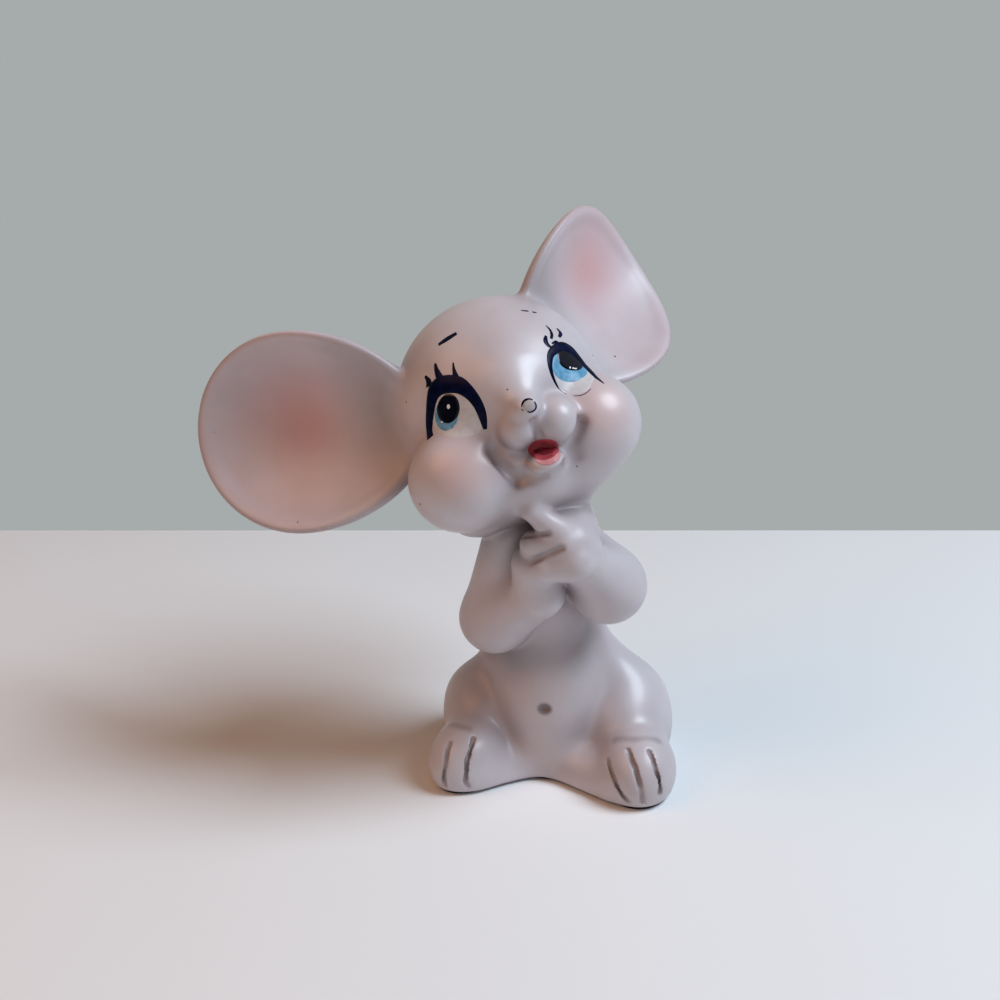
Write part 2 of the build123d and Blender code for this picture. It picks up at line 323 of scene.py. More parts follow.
def node(tree: Tree, kind: str, values: Optional[dict] = None) -> Any:
    """Adds a node to a tree.

    Args:
        tree: the tree that the node goes into.
        kind: the node's type.
        values: settings by the name of a property, or by the name or number of an input. An output of
            another node is linked to the input, and a node stands for its first output in use.

    Returns:
        The node.
    """
    made = tree.nodes.new(kind)
    for key, value in (values or {}).items():
        if isinstance(value, bpy.types.Node):
            value = next(output for output in value.outputs if output.enabled)
        if isinstance(value, bpy.types.NodeSocket):
            tree.links.new(value, made.inputs[key])
        elif isinstance(key, str) and hasattr(made, key):
            setattr(made, key, value)
        else:
            made.inputs[key].default_value = value
    return made


def blank(name: str) -> tuple[bpy.types.Material, Tree]:
    """A new material with no nodes.

    Args:
        name: the material's name.

    Returns:
        The material and its node tree.
    """
    made = bpy.data.materials.new(name)
    made.use_nodes = True
    made.node_tree.nodes.clear()
    return made, made.node_tree


@dataclass(frozen=True)
class Finish:
    """A procedural finish: two tones that drift into each other, on the object's own coordinates.

    Marks are colours that the mesh's attributes lay over the tones. The relief is a bump of its own grain,
    and the tones' own grain where it has none.
    """

    name: str
    tones: tuple[str, str]
    grain_mm: float
    detail: float
    surface: tuple[tuple[str, float], ...]
    span: Pair = (0.0, 1.0)
    marks: tuple[tuple[str, str], ...] = ()
    relief_mm: float = 0.0
    relief_grain_mm: float = 0.0
    relief_strength: float = 1.0
    roughness_span: Optional[Pair] = None

    def make(self) -> bpy.types.Material:
        """Makes the material, or finds it if it was made before.

        Returns:
            The material.
        """
        if self.name in bpy.data.materials:
            return bpy.data.materials[self.name]
        made, tree = blank(self.name)
        place = node(tree, "ShaderNodeTexCoord").outputs["Object"]
        grain = {"Scale": 1 / (self.grain_mm * MM), "Detail": self.detail, "Vector": place}
        cloud = node(tree, "ShaderNodeTexNoise", grain)
        low, high = self.span
        share = node(tree, "ShaderNodeMapRange", {"From Min": low, "From Max": high, "Value": cloud})
        first, second = (linear(tone) for tone in self.tones)
        colour = node(tree, "ShaderNodeMix", {"data_type": "RGBA", 0: share, 6: first, 7: second})
        for mark, code in self.marks:
            amount = node(tree, "ShaderNodeAttribute", {"attribute_name": mark}).outputs["Fac"]
            colour = node(tree, "ShaderNodeMix", {"data_type": "RGBA", 0: amount, 6: colour, 7: linear(code)})
        values = {**dict(self.surface), "Base Color": colour}
        if self.relief_mm:
            height = cloud
            if self.relief_grain_mm:
                grain = {"Scale": 1 / (self.relief_grain_mm * MM), "Detail": 2.0, "Vector": place}
                height = node(tree, "ShaderNodeTexNoise", grain)
            relief = {"Strength": self.relief_strength, "Distance": self.relief_mm * MM, "Height": height}
            values["Normal"] = node(tree, "ShaderNodeBump", relief)
        if self.roughness_span:
            low, high = self.roughness_span
            rough = {"To Min": low, "To Max": high, "Value": cloud}
            values["Roughness"] = node(tree, "ShaderNodeMapRange", rough)
        shader = node(tree, "ShaderNodeBsdfPrincipled", values)
        node(tree, "ShaderNodeOutputMaterial", {"Surface": shader})
        return made


# The crease mark is painted shade: a neutral grey laid into hollows and creases, where less light reaches
HOLLOW_SHADE_GREY = ("crease", "#8b7c80")
# Thin satin glaze over a tinted casting body. It lies a few hundredths of a millimetre thick, so the eye gets
# a soft broad shine, a colour that drifts a little over the clay, fine pits, and blushes airbrushed before
# the glaze. Years of handling leave brown dirt where a cloth doesn't reach. The grey crease mark is painted
# shade in the hollows.
BODY_GLAZE = Finish(
    "satin_glaze_body",
    tones=("#cbc3c8", "#c0b6ba"),
    grain_mm=14.0,
    detail=3.0,
    surface=(("IOR", 1.5), ("Coat IOR", 1.5), ("Coat Roughness", 0.25), ("Coat Weight", 0.3)),
    span=(0.35, 0.65),
    marks=(HOLLOW_SHADE_GREY, ("blush", "#d09494"), ("dirt_and_shade", "#5e4d48")),
    relief_mm=0.04,
    relief_grain_mm=0.55,
    relief_strength=0.25,
    roughness_span=(0.36, 0.50),
)
# The same glaze, over cheeks airbrushed with peach; next to the ears its brown mark carries the ears' painted
# shade
HEAD_GLAZE = replace(
    BODY_GLAZE,
    name="satin_glaze_head",
    marks=(HOLLOW_SHADE_GREY, ("blush", "#d9a18f"), ("dirt_and_shade", "#5e4d48")),
)
# A thinner coat on the ears, so they shine less and their pink comes through warmer. Their brown mark is
# painted shade deep in the dish, where the head shades the ear.
EAR_GLAZE = replace(
    BODY_GLAZE,
    name="satin_glaze_ears",
    surface=(("IOR", 1.5), ("Coat IOR", 1.5), ("Coat Roughness", 0.25), ("Coat Weight", 0.14)),
    marks=(HOLLOW_SHADE_GREY, ("blush", "#cf8985"), ("dirt_and_shade", "#6a4f42")),
    roughness_span=(0.42, 0.56),
)


def enamel(
    name: str, paint: str, streak: str, streak_mm: float = 0.9, roughness: float = 0.25, gloss: float = 0.16
) -> Finish:
    """Brush-laid china paint fired on the glaze: glossy, with the streaks that the brush leaves.

    Args:
        name: the material's name.
        paint: the paint's colour.
        streak: its colour where the brush ran thin.
        streak_mm: size of the streaks.
        roughness: how dull it fired.
        gloss: how much it reflects.

    Returns:
        The enamel.
    """
    surface = (("IOR", 1.52), ("Roughness", roughness), ("Specular IOR Level", gloss))
    return Finish(name, (paint, streak), streak_mm, 2.0, surface, span=(0.4, 0.7))


# Black and dull, with a fuzz of short fibres that catches a little light
WOOL_FELT = Finish(
    "pressed_wool_felt",
    tones=("#17161a", "#2b292e"),
    grain_mm=0.5,
    detail=6.0,
    surface=(("Roughness", 0.95), ("Sheen Weight", 0.3)),
    relief_mm=0.15,
)
# Matt and even, so that the eye gets a soft contact shadow and hardly a reflection
TABLE_TOP = Finish("pale_table_top", ("#f0f2f3", "#f0f2f3"), 100.0, 0.0, (("Roughness", 0.55),))


def plain_wall(colour: str = "#a6abab") -> bpy.types.Material:
    """An even grey wall that only the camera and its reflections see, and only from the front.

    Args:
        colour: the wall's colour.

    Returns:
        The material.
    """
    made, tree = blank("plain_grey_wall")
    ray = node(tree, "ShaderNodeLightPath").outputs
    behind = node(tree, "ShaderNodeNewGeometry").outputs["Backfacing"]
    rays = {0: ray["Is Camera Ray"], 1: ray["Is Glossy Ray"]}
    seen = node(tree, "ShaderNodeMath", {"operation": "MAXIMUM", **rays})
    front = node(tree, "ShaderNodeMath", {"operation": "SUBTRACT", 0: 1.0, 1: behind})
    both = node(tree, "ShaderNodeMath", {"operation": "MULTIPLY", 0: seen, 1: front})
    clear = node(tree, "ShaderNodeBsdfTransparent")
    plain = node(tree, "ShaderNodeEmission", {"Color": linear(colour), "Strength": 1.0})
    mixed = node(tree, "ShaderNodeMixShader", {0: both, 1: clear, 2: plain})
    node(tree, "ShaderNodeOutputMaterial", {"Surface": mixed})
    return made


class Paint(Enum):
    """The enamels of the face and the dark of the kiln specks."""

    # Opaque china white, a little grey where the brush ran thin
    WHITE = enamel("enamel_eye_white", "#cdcacb", "#c2bfc2")
    # Thin pale blue that lets the white show through its streaks
    BLUE = enamel("enamel_iris_blue", "#6fa6c6", "#548cb0")
    # Blue-black liner, nearly without shine, so that a fine line stays dark
    NAVY = enamel("enamel_lash_navy", "#060b26", "#0c1538", gloss=0.05)
    # The same dark laid thick, glossy as a wet eye
    BLACK = enamel("enamel_pupil_navy", "#04060f", "#090d22", roughness=0.12, gloss=0.3)
    # A dot of bright white, which gives the eye its look
    GLINT = enamel("enamel_glint_white", "#f2f2f5", "#e2e4ea")
    # Brick rose of the open mouth, darker in its hollow and paler on the lip
    RED = enamel("enamel_mouth_red", "#a8434f", "#b5545c")
    DEEP = enamel("enamel_mouth_dark", "#7c2733", "#8a2f3a")
    LIP = enamel("enamel_lip_pink", "#c9888d", "#d09a9c")
    # Glaze rubbed dull at the tip of the nose
    WORN = enamel("worn_nose_glaze", "#a39b99", "#b0a6a4", streak_mm=0.4, roughness=0.5)
    # Iron that burnt through the glaze in the kiln
    SPECK = enamel("kiln_speck_iron", "#3c2a26", "#2a1e1c", roughness=0.6)


# The clay pieces


def fade(off: Distances, near: float, far: float) -> Distances:
    """One up to a near distance, falling smoothly to zero at a far one."""
    share = np.clip((far - off) / (far - near), 0, 1)
    return share * share * (3 - 2 * share)


# The rows of a piece's marks: blush, then dirt together with painted shade
BLUSH, DIRT_AND_SHADE = 0, 1


@dataclass
class ClayPiece:
    """A piece of the casting: its forms, the box it fits in, and the marks on its glaze: airbrushed blush,
    dirt and painted shade.
    """

    node: str
    slot: str
    low: Triple
    high: Triple
    step: float = 0.36
    crease: float = 1.0
    around: tuple[str, ...] = ()
    core: Optional[Form] = None
    lumps: Worked = ()
    cuts: Worked = ()

    def local(self, at: Points) -> Points:
        """Points of the row frame in the frame that the piece's forms are given in."""
        return at

    def distance(self, at: Points) -> Distances:
        """Distances to the piece's own clay: a core with lumps melted onto it, and then cut into.

        Args:
            at: the points.

        Returns:
            Their distances, below zero inside.
        """
        own = self.local(at)
        form = self.core.distance(own)
        for lump, reach in self.lumps:
            form = melt(form, lump.distance(own), reach)
        for tool, reach in self.cuts:
            form = carve(form, tool.distance(own), reach)
        return form

    def marks(self, at: Points) -> np.ndarray:
        """How much blush, in the first row, and dirt with painted shade, in the second, lies at points, from 0
        to 1.
        """
        return np.zeros((2, len(at)), np.float32)


# Width of the softened edge of a line drawn with a tool
LINE_EDGE = 0.5
TOE_LINES = (
    Scratch(((-14.2, -13.4, 8.2), (-14.6, -15.6, 5.6), (-14.7, -15.9, 1.6)), 0.28),
    Scratch(((-10.6, -12.2, 8.6), (-11.3, -15.0, 6.0), (-11.4, -15.9, 2.8), (-10.8, -15.8, 1.8)), 0.33),
    Scratch(((10.7, -12.9, 6.8), (12.0, -15.4, 5.0), (14.3, -16.7, 1.8)), 0.33),
    Scratch(((13.8, -13.2, 9.0), (15.2, -15.7, 7.1), (16.3, -17.2, 4.3), (16.6, -16.9, 2.0)), 0.36),
    Scratch(((17.2, -13.1, 8.9), (18.3, -14.9, 6.8), (19.1, -15.5, 3.0)), 0.36),
)
ANKLE_SMUDGES = (
    Scratch(((11.8, -10.3, 8.9), (14.8, -11.4, 9.7), (18.4, -10.0, 9.1)), 0.05),
    Scratch(((-14.7, -9.2, 9.1), (-13.0, -10.5, 9.5), (-11.6, -10.8, 9.5)), 0.05),
)
NAVEL = Ball((0.3, -9.3, 12.9), (1.0, 0.8, 0.8))
FINGER_LINES = (
    Scratch(((-3.4, -15.6, 44.6), (-0.9, -16.6, 45.4), (1.6, -17.8, 46.1)), 0.36),
    Scratch(((-1.5, -16.9, 40.9), (1.1, -17.8, 42.7), (3.5, -18.2, 44.0)), 0.5),
)
# The fold under the lip, the left fold beside the muzzle, the groove under the nose and the right fold, in
# the head's own frame, each with the width of its softened edge
FACE_LINES = (
    (Scratch(((-3.2, -15.1, -12.4), (-1.5, -15.8, -13.7), (0.6, -16.4, -14), (2.7, -16.1, -13.4)), 1.3), 1.2),
    (Scratch(((-5.8, -14.9, -7.6), (-5.6, -14.7, -9.1), (-4.8, -14.5, -11), (-3.8, -14.5, -12.8)), 0.9), 1.6),
    (Scratch(((0.3, -19.0, -5.8), (0.5, -18.2, -6.7), (0.7, -17.2, -7.9)), 0.5), 0.9),
    (Scratch(((7.2, -16.1, -8.1), (5.9, -15.9, -9.5), (5.0, -15.5, -11), (5.2, -15.0, -12.6)), 0.9), 1.6),
)


@dataclass
class BodyCasting(ClayPiece):
    """Belly, chest, neck, haunches and feet, which stand on the felt pad."""

    node: str = "body_shell"
    slot: str = "glazed_body"
    low: Triple = (-22, -20, 0)
    high: Triple = (24, 16, 54)
    step: float = 0.31
    around: tuple[str, ...] = ("head_shell", "right_arm", "left_arm", "tail")
    ground: float = 0.5
    ground_edge: float = 0.8
    core: Form = Ball((0.3, 1, 10), (10.3, 10.2, 15))
    lumps: Worked = (
        # Seat and chest
        (Ball((0.6, 0.8, 3.5), (9.8, 9.9, 7.5)), 3),
        (Ball((-1, 1.5, 28), (8.3, 7.5, 14)), 6),
        # Flank and haunch, first the left ones
        (Roll((-8.0, 2, 16.0), (-11.2, 2, 9.0), 3.8, 5.6), 4),
        (Ball((-10.6, 2, 5.8), (7.0, 10.3, 8.5)), 3.5),
        (Roll((6.2, 2, 20.6), (12.6, 2, 10.8), 3.4, 5.6), 4),
        (Ball((12.3, 1.7, 6.0), (8.0, 10.5, 9.9)), 3.5),
        # Neck, and the throat behind the hands
        (Roll((-3, 0, 40), (-3, 0, 30), 7.0, 7.5), 3),
        (Roll((2.6, -2.6, 42.4), (3.9, -9.4, 43.9), 4.7, 3.7), 4),
        # Heel and foot, first the left ones
        (Roll((-11.0, -9.3, 1.0), (-3.6, -4.9, 1.0), 5.0, 4.8), 3),
        (Ball((-11.9, -8.6, 3.4), (5.9, 8.0, 6.4), -22), 3.2),
        (Roll((12.6, -9.8, 1.0), (3.6, -4.8, 1.0), 5.3, 4.8), 3),
        (Ball((15.2, -9.0, 3.6), (6.2, 8.2, 6.6), 8), 3.2),
    )
    cuts: Worked = (*((line, LINE_EDGE) for line in TOE_LINES), (NAVEL, 0.6))

    def distance(self, at: Points) -> Distances:
        """Distances to the body, cut flat where it stands on the pad."""
        return carve(super().distance(at), at[:, 2] - self.ground, self.ground_edge)

    def marks(self, at: Points) -> np.ndarray:
        """Brown dirt in the toe lines and the navel, and smudged over the ankles.

        Args:
            at: points on the skin.

        Returns:
            The blush and the dirt at each.
        """
        marks = super().marks(at)
        lines = np.minimum.reduce([line.distance(at) + line.radius * 0.6 for line in TOE_LINES])
        faint = np.minimum.reduce([line.distance(at) for line in ANKLE_SMUDGES])
        hole = NAVEL.distance(at)
        dirt_and_shade = (fade(lines, 0, 0.45) * 0.6, fade(faint, 0.1, 1.1) * 0.38, fade(hole, 0, 0.5) * 0.75)
        marks[DIRT_AND_SHADE] = np.maximum.reduce(dirt_and_shade)
        return marks


@dataclass(frozen=True)
class HeadSeat:
    """Where the head sits and how it is turned."""

    middle: Triple = (-8.3, -1.1, 61.5)
    way: Triple = (-21.8, -17, 17.2)

    @property
    def spin(self) -> np.ndarray:
        """The head's turn as a matrix."""
        nod, roll, yaw = self.way
        return turn(nod, roll, yaw)

    def local(self, at: Points) -> Points:
        """Points in the head's own frame, where the face looks along -Y."""
        return (at - np.float32(self.middle)) @ self.spin

    def world(self, at: Points) -> Points:
        """Points of the head's own frame in the row frame."""
        return at @ self.spin.T + np.float32(self.middle)


SEAT = HeadSeat()


@dataclass
class HeadCasting(ClayPiece):
    """Skull, cheeks, jaw, muzzle, nose and the open mouth."""

    node: str = "head_shell"
    slot: str = "glazed_head"
    low: Triple = (-29, -27, 42)
    high: Triple = (18, 18, 81)
    step: float = 0.31
    crease: float = 3.0
    around: tuple[str, ...] = ("body_shell", "left_ear", "right_ear", "right_arm", "left_arm")
    core: Form = Ball((0.15, 0, 0), (15.75, 16, 15.5))
    lumps: Worked = (
        # Cheeks and jaw
        (Ball((-10.4, -8.2, -9.9), (8.2, 8.0, 7.9)), 4),
        (Ball((9.9, -8.4, -8.6), (8.1, 7.9, 7.7)), 4),
        (Ball((-0.8, -7.4, -11.9), (8.4, 7.4, 6.9)), 4),
        # Jowls under the jaw
        (Roll((6.6, -7.1, -12.4), (4.3, -3.8, -16.2), 5.8, 4.4), 4),
        (Ball((-9.0, 0.4, -14.6), (4.6, 4.6, 4.6)), 4),
        (Roll((-6.5, -3.2, -13.6), (2.6, -3.6, -14.4), 5.0, 5.0), 4),
        # Bridge of the nose, the two puffs of the muzzle, the nose and the lower lip
        (Roll((0, -12.5, 0), (0, -17.5, -3.6), 5.0, 2.4), 5),
        (Ball((-1.6, -15.5, -5.9), (2.7, 3.1, 2.8)), 2.4),
        (Ball((4.0, -15.5, -6.5), (3.4, 3.5, 3.5)), 2.4),
        (Ball((0, -19, -3.6), (1.8, 1.7, 1.6)), 1),
        (Ball((0.6, -14.7, -12.1), (3.3, 3.4, 2.1)), 1.5),
    )
    # The open mouth is the last cut
    cuts: Worked = (*FACE_LINES, (Ball((0.4, -18.7, -10.0), (2.4, 2.7, 1.7)), 0.5))
    cheeks: tuple[Triple, ...] = ((-11.2, -15.4, -8.6), (11.6, -14.6, -7.6))
    blush_amount: float = 0.34

    def local(self, at: Points) -> Points:
        """Points in the head's own frame."""
        return SEAT.local(at)

    def marks(self, at: Points) -> np.ndarray:
        """Peach airbrushed on the cheeks.

        Args:
            at: points on the skin.

        Returns:
            The blush and the dirt at each.
        """
        marks, own = super().marks(at), self.local(at)
        near = [np.linalg.norm(own - np.float32(cheek), axis=1) for cheek in self.cheeks]
        marks[BLUSH] = fade(np.minimum(*near), 0.5, 7.5) * self.blush_amount
        return marks


class Side(Enum):
    """The viewer's left or right, as the sign of X."""

    LEFT = -1
    RIGHT = 1


@dataclass
class DishedEar(ClayPiece):
    """A large ear, dished to the front, with a rounded rim and a root that narrows into the head."""

    side: Side = Side.LEFT
    middle: Triple = (30.3, 2.2, 5.5)
    yaw: float = 34.0
    tilt: float = 18.0
    roll: float = -3.0
    reach: float = 16.3
    root: float = 17.8
    half_height: float = 14.0
    bend: float = -1.1
    floor: float = 6.0
    half_wall: float = 1.1
    rim: float = 1.35
    bevel: float = 1.5
    blush_at: Pair = (0.0, 0.0)
    # Where the painted shade of the dish is darkest, along and up the ear
    shade_at: Pair = (-12.5, 4.0)

    def flat(self, at: Points) -> tuple[Distances, Distances, Distances]:
        """Lays points out on the ear.

        Args:
            at: points of the row frame.

        Returns:
            Their reach along the ear, their height up it and their depth in front of it.
        """
        own = SEAT.local(at) * np.float32((self.side.value, 1, 1)) - np.float32(self.middle)
        spin = turn(z=self.yaw) @ turn(y=-self.tilt) @ turn(x=self.roll)
        own = own @ spin
        return own[:, 0], own[:, 2], -own[:, 1]

    def sheet(self, along: Distances, up: Distances) -> Distances:
        """How far in front of its plane the ear's sheet lies."""
        out = np.clip(along, 0, None) / self.reach
        return -self.floor + (self.floor + self.bend) * out**2 + self.floor * (up / self.half_height) ** 2

    def distance(self, at: Points) -> Distances:
        """Distances to the ear: a curved plate inside an egg-shaped edge, with a bead along the rim.

        Args:
            at: the points.

        Returns:
            Their distances, below zero inside.
        """
        along, up, front = self.flat(at)
        across = np.where(along > 0, along / self.reach, along / self.root)
        edge = (np.sqrt(across**2 + (up / self.half_height) ** 2 + SMALL) - 1) * self.half_height
        sheet = self.sheet(along, up)
        out = np.clip(along, 0, None) / self.reach
        lean = 1 + (2 * self.floor * up / self.half_height**2) ** 2
        lean = lean + (2 * (self.floor + self.bend) * out / self.reach) ** 2
        plate = np.abs(front - sheet) / np.sqrt(lean) - self.half_wall
        form = -melt(-plate, -edge, self.bevel)
        bead = np.sqrt(edge**2 + (front - sheet) ** 2 / (0.5 + 0.5 * lean)) - self.rim
        return melt(form, bead, 1.0)

    def marks(self, at: Points) -> np.ndarray:
        """Pink airbrushed in the dish and a little on the root, and painted brownish shade deep in the dish,
        where the head shades the ear.

        Args:
            at: points on the skin.

        Returns:
            The blush and the dirt at each.
        """
        marks = super().marks(at)
        along, up, front = self.flat(at)
        inside = fade(self.sheet(along, up) - front, -0.2, 0.6)
        near = np.hypot(along - self.blush_at[0], (up - self.blush_at[1]) * 1.1)
        deep = np.hypot(along - self.shade_at[0], (up - self.shade_at[1]) * 0.7)
        dish = fade(near, 0, 13.5) * 0.42 + fade(near, 0, 7.5) * 0.06
        marks[BLUSH] = dish * inside + fade(-along, 1, 12) * 0.12
        # Painted shade: darker and browner deep in the dish near the root, where the head would shade the ear
        marks[DIRT_AND_SHADE] = fade(deep, 0, 10.5) * inside * 0.42
        return marks


@dataclass
class FoldedArm(ClayPiece):
    """An arm folded under the chin, with its hand."""

    shoulder: Triple = (0, 0, 0)
    elbow: Triple = (0, 0, 0)
    wrist: Triple = (0, 0, 0)
    radii: Triple = (4.3, 5.4, 3.9)
    hand: tuple[Roll, ...] = ()
    lines: tuple[Scratch, ...] = ()
    elbow_crease: float = 3.0
    finger_crease: float = 1.2

    def __post_init__(self) -> None:
        """Rolls the upper arm and the forearm, puts the fingers on and draws the lines between them."""
        first, middle, last = self.radii
        self.core = Roll(self.shoulder, self.elbow, first, middle)
        forearm = Roll(self.elbow, self.wrist, middle, last)
        fingers = ((finger, self.finger_crease) for finger in self.hand)
        self.lumps = ((forearm, self.elbow_crease), *fingers)
        self.cuts = tuple((line, LINE_EDGE) for line in self.lines)

    def marks(self, at: Points) -> np.ndarray:
        """A little dirt between the fingers.

        Args:
            at: points on the skin.

        Returns:
            The blush and the dirt at each.
        """
        marks = super().marks(at)
        if self.lines:
            near = np.minimum.reduce([line.distance(at) for line in self.lines])
            marks[DIRT_AND_SHADE] = fade(near, 0, 0.5) * 0.25
        return marks


@dataclass
class ShortTail(ClayPiece):
    """A short tail that curls against the back."""

    node: str = "tail"
    slot: str = "glazed_body"
    low: Triple = (-5, 6, 0)
    high: Triple = (20, 19, 10)
    crease: float = 1.2
    around: tuple[str, ...] = ("body_shell",)
    knots: tuple[tuple[float, float, float, float], ...] = (
        (1.0, 9.0, 5.4, 2.4),
        (4.5, 13.0, 4.6, 2.1),
        (10.0, 13.6, 3.9, 1.7),
        (14.0, 11.4, 5.2, 1.2),
    )
    turns: int = 16

    def distance(self, at: Points) -> Distances:
        """Distances to the tail, rolled thinner from knot to knot, each a place and a radius."""
        line = through(self.knots, self.turns).tolist()
        rolls = (Roll(a[:3], b[:3], a[3], b[3]) for a, b in zip(line, line[1:]))
        return np.minimum.reduce([roll.distance(at) for roll in rolls])


@dataclass
class Casting:
    """The whole mouse in clay, joined with slip and parted again along its seams."""

    pieces: dict[str, ClayPiece]
    overlap: float = 1.1
    dive: float = 0.35
    spread: float = 5.0
    quick_coarseness: float = 1.8
    # How far out of the skin a hollow is felt for, and how much painted shade it lays on the glaze there
    hollow_shading: tuple[Pair, ...] = ((1.6, 0.4), (8.0, 0.5))

    def joined(self, names: Sequence[str], at: Points) -> Distances:
        """Distances to some of the pieces, melted together in the casting's order.

        Args:
            names: the pieces' names.
            at: the points.

        Returns:
            Their distances, below zero inside.
        """
        form = np.full(len(at), FAR, np.float32)
        for name, piece in self.pieces.items():
            if name in names:
                form = melt(form, piece.distance(at), piece.crease)
        return form

    def skin(self, piece: ClayPiece) -> Skin:
        """The skin of one piece, which dips under its neighbours past each seam.

        Args:
            piece: the piece.

        Returns:
            Its skin, shaded as the joined casting is.
        """

        others = [self.pieces[name] for name in piece.around]

        def whole(at: Points) -> Distances:
            """Distances to the joined casting."""
            return self.joined((piece.node, *piece.around), at)

        def own(at: Points) -> Distances:
            """Distances to this piece alone, which ends a little way under its neighbours."""
            past = piece.distance(at) - np.minimum.reduce([other.distance(at) for other in others])
            dive = self.dive * np.clip(past, 0, self.overlap) ** 2
            return np.maximum(whole(at) + dive, past - self.overlap)

        step = piece.step * 1
        return Skin.of(own, piece.low, piece.high, step, whole)

    def build(self, piece: ClayPiece, glaze: Finish) -> Thing:
        """Makes, glazes and mounts one piece.

        Args:
            piece: the piece.
            glaze: its glaze.

        Returns:
            The finished object.
        """
        skin = self.skin(piece)
        at = skin.points.astype(np.float32)
        # Painted shade: the crease mark greys the glaze where the skin is hollow and less light would reach it
        crease = 0
        for reach, share in self.hollow_shading:
            out = (at + skin.outwards * reach).astype(np.float32)
            clear = self.joined((piece.node, *piece.around), out) / reach
            crease = crease + share * np.clip(1 - clear, 0, 1)
        marks = piece.marks(at)
        # Near a seam a piece takes on its neighbour's marks, so the ears' painted shade runs onto the head
        for other in (self.pieces[name] for name in piece.around):
            share = np.clip(0.5 - (other.distance(at) - piece.distance(at)) / self.spread, 0, 1)
            marks += (other.marks(at) - marks) * share
        laid = {"crease": crease, "blush": marks[BLUSH], "dirt_and_shade": marks[DIRT_AND_SHADE]}
        made = skin.thing(f"clay_{piece.node}", laid)
        made.data.materials.append(glaze.make())
        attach(made, BODY)
        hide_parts(piece.node)
        return made


def mouse() -> Casting:
    """The casting of this mouse, with every piece in its place.

    Returns:
        The casting.
    """
    right_hand = (
        # Fist, raised finger, heel of the hand, and the two fingers that lie across it
        Roll((4.9, -12.6, 41.2), (4.1, -13.4, 42.8), 4.4, 4.2),
        Roll((2.7, -15.2, 45.4), (-1.1, -16.7, 49.1), 2.4, 1.5),
        Roll((2.9, -13.4, 44.9), (4.8, -10.6, 44.6), 3.2, 3.4),
        Roll((3.6, -15.6, 43.6), (-0.9, -15.3, 43.4), 2.5, 2.1),
        Roll((5.2, -15.4, 41.0), (1.1, -15.7, 40.1), 3.1, 2.5),
    )
    ear = {"slot": "glazed_ears", "step": 0.4, "crease": 2.5, "around": ("head_shell",)}
    arm = {"slot": "glazed_body", "step": 0.3}
    pieces = (
        BodyCasting(),
        HeadCasting(),
        DishedEar("left_ear", low=(-60, -20, 38), high=(-16, 4, 77), blush_at=(1.6, 2.2), **ear),
        DishedEar(
            "right_ear",
            low=(-12, -2, 57),
            high=(24, 38, 93),
            side=Side.RIGHT,
            middle=(23.3, 4.6, 10.1),
            yaw=42,
            tilt=19,
            reach=15.3,
            half_height=12.5,
            bend=-4.2,
            blush_at=(5.0, 4.0),
            **ear,
        ),
        FoldedArm(
            "right_arm",
            low=(-8, -24, 24),
            high=(19, 8, 54),
            crease=2.2,
            around=("body_shell", "head_shell", "left_arm"),
            shoulder=(3.0, -0.5, 39.5),
            elbow=(9.6, -5.5, 33.3),
            wrist=(5.8, -12.0, 39.8),
            radii=(4.2, 5.6, 3.8),
            hand=right_hand,
            lines=FINGER_LINES,
            **arm,
        ),
        FoldedArm(
            "left_arm",
            low=(-16, -20, 18),
            high=(8, 8, 48),
            crease=1.5,
            around=("body_shell", "head_shell", "right_arm"),
            shoulder=(-4.8, -6.2, 41.4),
            elbow=(-8.0, -5.5, 26.8),
            wrist=(-0.5, -12.0, 34.2),
            radii=(4.9, 5.3, 4.0),
            hand=(Roll((-0.5, -12.0, 34.2), (-0.9, -13.4, 39.4), 3.9, 3.6),),
            **arm,
        ),
        ShortTail(),
    )
    return Casting({piece.node: piece for piece in pieces})


# The painted face


def through(knots: Sequence[Sequence[float]], count: int, closed: bool = False) -> np.ndarray:
    """Points along a smooth line through knots.

    Args:
        knots: the knots, each with any number of coordinates.
        count: number of points.
        closed: whether the line goes round.

    Returns:
        The points, evenly spaced by knot.
    """
    given = np.array(knots, float)
    size = len(given)
    place = np.linspace(0, size if closed else size - 1, count, endpoint=not closed)
    first = np.minimum(place.astype(int), size - (1 if closed else 2))
    share = (place - first)[:, None]
    if closed:
        a, b, c, d = (given[(first + i) % size] for i in (-1, 0, 1, 2))
    else:
        padded = np.concatenate([[2 * given[0] - given[1]], given, [2 * given[-1] - given[-2]]])
        a, b, c, d = (padded[first + i] for i in (0, 1, 2, 3))
    return b + share / 2 * (c - a + share * (2 * a - 5 * b + 4 * c - d + share * (3 * (b - c) + d - a)))


@dataclass(frozen=True)
class Daub:
    """A pool of enamel inside an outline on the face, given as the head sees it from the front."""

    name: str
    paint: Paint
    proud: float
    outline: tuple[Pair, ...]


# Rings of a daub's low dome, each as a share of the outline and a share of the height
DOME = ((0.25, 1.0), (0.5, 1.0), (0.7, 1.0), (0.85, 0.9), (0.94, 0.6))


